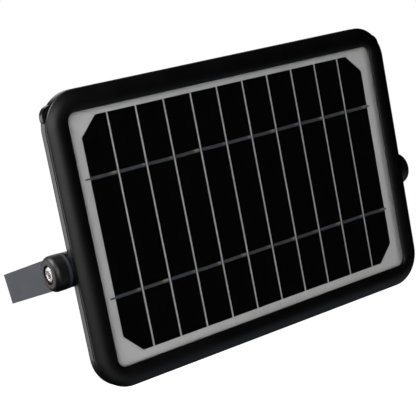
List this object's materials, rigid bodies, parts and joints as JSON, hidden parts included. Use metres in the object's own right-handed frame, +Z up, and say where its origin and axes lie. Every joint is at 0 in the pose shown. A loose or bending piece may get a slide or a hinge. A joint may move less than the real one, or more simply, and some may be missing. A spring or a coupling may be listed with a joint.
{
  "type": "solar flood light",
  "caption": "Flat rectangular flood light with a solar panel on one side and an LED window on the other, tilting between the arms of a U-shaped bracket.",
  "frame": {"origin": "middle of the bracket's outer base face, where it meets the wall, centre of the two screw holes", "axes": "+Y from the lamp towards the wall, the normal of the bracket's base; +X along the base and the pivot axis; +Z up"},
  "size_m": [0.2464, 0.1104, 0.154],
  "materials": {
    "bracket_paint": "satin",
    "black_abs": "satin",
    "collar_black": "satin",
    "clear_glass": "polished",
    "clear_film": "polished",
    "cell_silicon": "glossy",
    "tinned_copper": "satin",
    "white_film": "satin",
    "black_rubber": "matte",
    "grey_rubber": "matte",
    "steel": "satin",
    "clear_polycarbonate": "polished",
    "white_board": "satin",
    "led_phosphor": "glossy",
    "white_plastic": "glossy",
    "pad_grey": "matte",
    "aluminium": "satin",
    "cell_wrap": "glossy",
    "tray_plastic": "matte",
    "nickel": "satin",
    "green_board": "glossy",
    "chip_black": "matte",
    "ferrite": "matte",
    "capacitor_sleeve": "glossy",
    "ivory_plastic": "satin",
    "brass": "satin",
    "light_pipe": "glossy",
    "wire_red": "satin",
    "nylon": "matte"
  },
  "bodies": {
    "bracket": {"u_bracket": "bracket_paint"},
    "power_button": {"power_button": "grey_rubber", "switch_plunger": "ivory_plastic"},
    "left_collar": {"left_collar": "collar_black", "left_lock_washer": "steel"},
    "left_screw": {"left_clamp_screw": "steel"},
    "right_collar": {"right_collar": "collar_black", "right_lock_washer": "steel"},
    "right_screw": {"right_clamp_screw": "steel"},
    "lamp_head": {"panel_bezel": "black_abs", "panel_tape": "black_rubber", "solar_glass": "clear_glass", "encapsulant": "clear_film", "solar_cells": "cell_silicon", "cell_ribbons": "tinned_copper", "backsheet": "white_film", "terminal_cap": "black_rubber", "body_shell": "black_abs", "housing_seal": "grey_rubber", "housing_screws": "steel", "lens_cover": "clear_polycarbonate", "lens_gasket": "grey_rubber", "lens_frame": "black_abs", "lens_screws": "steel", "led_board": "white_board", "led_chips": "led_phosphor", "reflector": "white_plastic", "thermal_pad": "pad_grey", "heat_spreader": "aluminium", "spreader_screws": "steel", "battery_cells": "cell_wrap", "battery_tray": "tray_plastic", "battery_tabs": "nickel", "battery_straps": "tray_plastic", "controller_board": "green_board", "controller_chip": "chip_black", "coil": "ferrite", "capacitor": "capacitor_sleeve", "wire_connectors": "ivory_plastic", "board_standoffs": "brass", "board_screws": "steel", "switch_board": "green_board", "switch_screws": "steel", "power_switch": "chip_black", "button_seal": "grey_rubber", "indicator_lens": "light_pipe", "indicator_led": "light_pipe", "panel_leads": "wire_red", "led_leads": "wire_red", "battery_leads": "wire_red", "switch_leads": "wire_red", "pivot_inserts": "brass", "pivot_washers": "nylon"}
  },
  "joints": [
    {"name": "head_tilt", "type": "hinge", "parent": "bracket", "child": "lamp_head", "pos_m": [0, -0.078, 0], "axis": [1, 0, 0], "range_deg": [-82, 238]},
    {"name": "power_button_press", "type": "slide", "parent": "lamp_head", "child": "power_button", "axis": [0, -0.9781, -0.2079], "range_m": [0, 0.0012], "stiffness_N_per_m": 500, "springref_m": -0.001},
    {"name": "left_collar_slide", "type": "slide", "parent": "lamp_head", "child": "left_collar", "axis": [-1, 0, 0], "range_m": [0, 0.0008]},
    {"name": "left_screw_turn", "type": "hinge", "parent": "left_collar", "child": "left_screw", "pos_m": [-0.12, -0.078, 0], "axis": [-1, 0, 0], "range_deg": [0, 360]},
    {"name": "right_collar_slide", "type": "slide", "parent": "lamp_head", "child": "right_collar", "axis": [1, 0, 0], "range_m": [0, 0.0008]},
    {"name": "right_screw_turn", "type": "hinge", "parent": "right_collar", "child": "right_screw", "pos_m": [0.12, -0.078, 0], "axis": [1, 0, 0], "range_deg": [0, 360]}
  ],
  "couplings": [
    {"joint": "left_screw_turn", "follows": "left_collar_slide", "rad_per_m": 7854},
    {"joint": "right_screw_turn", "follows": "right_collar_slide", "rad_per_m": 7854}
  ]
}
